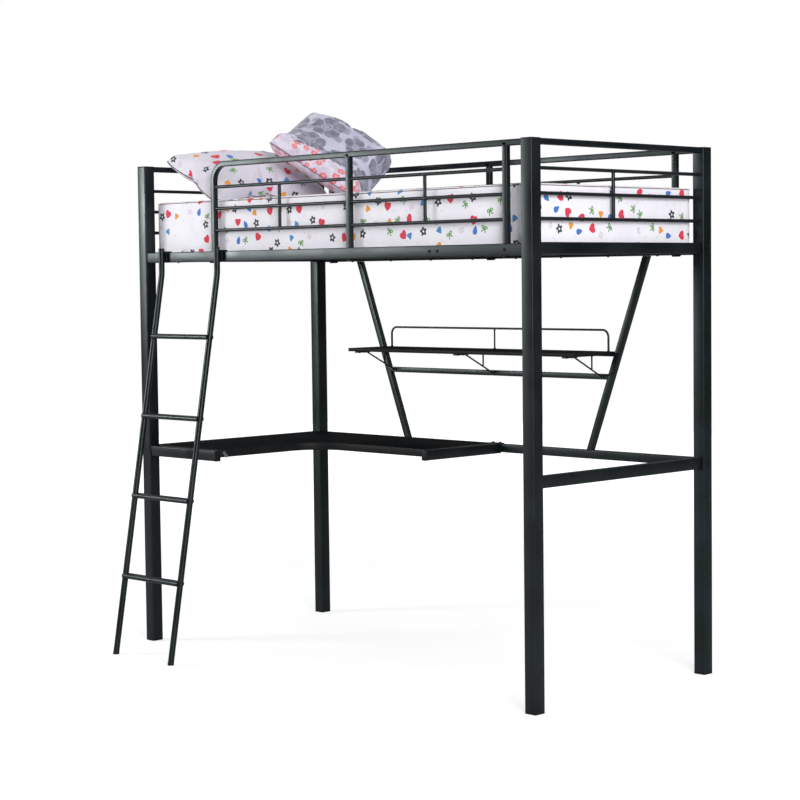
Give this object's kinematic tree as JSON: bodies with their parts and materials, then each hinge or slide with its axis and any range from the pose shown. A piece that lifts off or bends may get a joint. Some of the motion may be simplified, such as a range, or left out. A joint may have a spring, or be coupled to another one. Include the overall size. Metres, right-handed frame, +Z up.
{
  "type": "loft bed with desk",
  "caption": "Steel loft bed with guard rails, a hook-on ladder, an L-shaped corner desk and a wall shelf below, made up with a mattress and pillows.",
  "frame": {"origin": "on the floor, under the middle of the whole object's box, ladder included", "axes": "+X along the bed away from the ladder, +Y from the ladder side to the desk's back, +Z up"},
  "size_m": [1.99, 1.182, 1.9849],
  "materials": {
    "frame_paint": "satin",
    "wire_paint": "satin",
    "board_laminate": "matte",
    "black_plastic": "matte",
    "zinc_steel": "satin",
    "sheet_fabric": "matte",
    "petal_fabric": "matte"
  },
  "bodies": {
    "frame": {"post_front_left": "frame_paint", "post_front_right": "frame_paint", "post_back_left": "frame_paint", "post_back_right": "frame_paint", "post_foot_front_left": "black_plastic", "post_foot_front_right": "black_plastic", "post_foot_back_left": "black_plastic", "post_foot_back_right": "black_plastic", "post_cap_front_left": "black_plastic", "post_cap_front_right": "black_plastic", "post_cap_back_left": "black_plastic", "post_cap_back_right": "black_plastic", "side_rail_front": "frame_paint", "side_rail_back": "frame_paint", "end_rail_left": "frame_paint", "end_rail_right": "frame_paint", "lower_end_rail_left": "frame_paint", "lower_end_rail_right": "frame_paint", "end_top_rail_left": "frame_paint", "end_top_rail_right": "frame_paint", "lower_back_beam": "frame_paint", "guard_rail_front": "frame_paint", "guard_rail_back": "frame_paint", "end_guard_bars_left": "frame_paint", "end_guard_bars_right": "frame_paint", "slat_1": "frame_paint", "slat_2": "frame_paint", "slat_3": "frame_paint", "slat_4": "frame_paint", "slat_5": "frame_paint", "slat_6": "frame_paint", "slat_7": "frame_paint", "slat_8": "frame_paint", "strut_left": "frame_paint", "strut_right": "frame_paint", "shelf_bar": "frame_paint", "shelf_back_rail": "frame_paint", "shelf_board": "board_laminate", "shelf_bracket_1": "wire_paint", "shelf_bracket_2": "wire_paint", "shelf_bracket_3": "wire_paint", "shelf_gallery_rail": "wire_paint", "desk_top": "board_laminate", "desk_arm_front": "frame_paint", "desk_arm_right": "frame_paint", "desk_arm_bracket": "frame_paint", "desk_corner_strap": "zinc_steel"},
    "ladder": {"ladder_stringer_left": "frame_paint", "ladder_stringer_right": "frame_paint", "ladder_foot_left": "black_plastic", "ladder_foot_right": "black_plastic", "ladder_hook_left": "frame_paint", "ladder_hook_right": "frame_paint", "ladder_rung_1": "frame_paint", "ladder_rung_2": "frame_paint", "ladder_rung_3": "frame_paint", "ladder_rung_4": "frame_paint"},
    "mattress": {"mattress": "sheet_fabric"},
    "pillow_left": {"pillow_left": "sheet_fabric"},
    "pillow_right": {"pillow_right": "petal_fabric"}
  },
  "joints": [
    {"name": "ladder_lift", "type": "slide", "parent": "frame", "child": "ladder", "axis": [0, 0, 1], "range_m": [0, 0.05]},
    {"name": "mattress_lift", "type": "slide", "parent": "frame", "child": "mattress", "axis": [0, 0, 1], "range_m": [0, 0.36]},
    {"name": "pillow_left_lift", "type": "slide", "parent": "mattress", "child": "pillow_left", "axis": [0, 0, 1], "range_m": [0, 0.25]},
    {"name": "pillow_right_lift", "type": "slide", "parent": "pillow_left", "child": "pillow_right", "axis": [0, 0, 1], "range_m": [0, 0.25]}
  ]
}
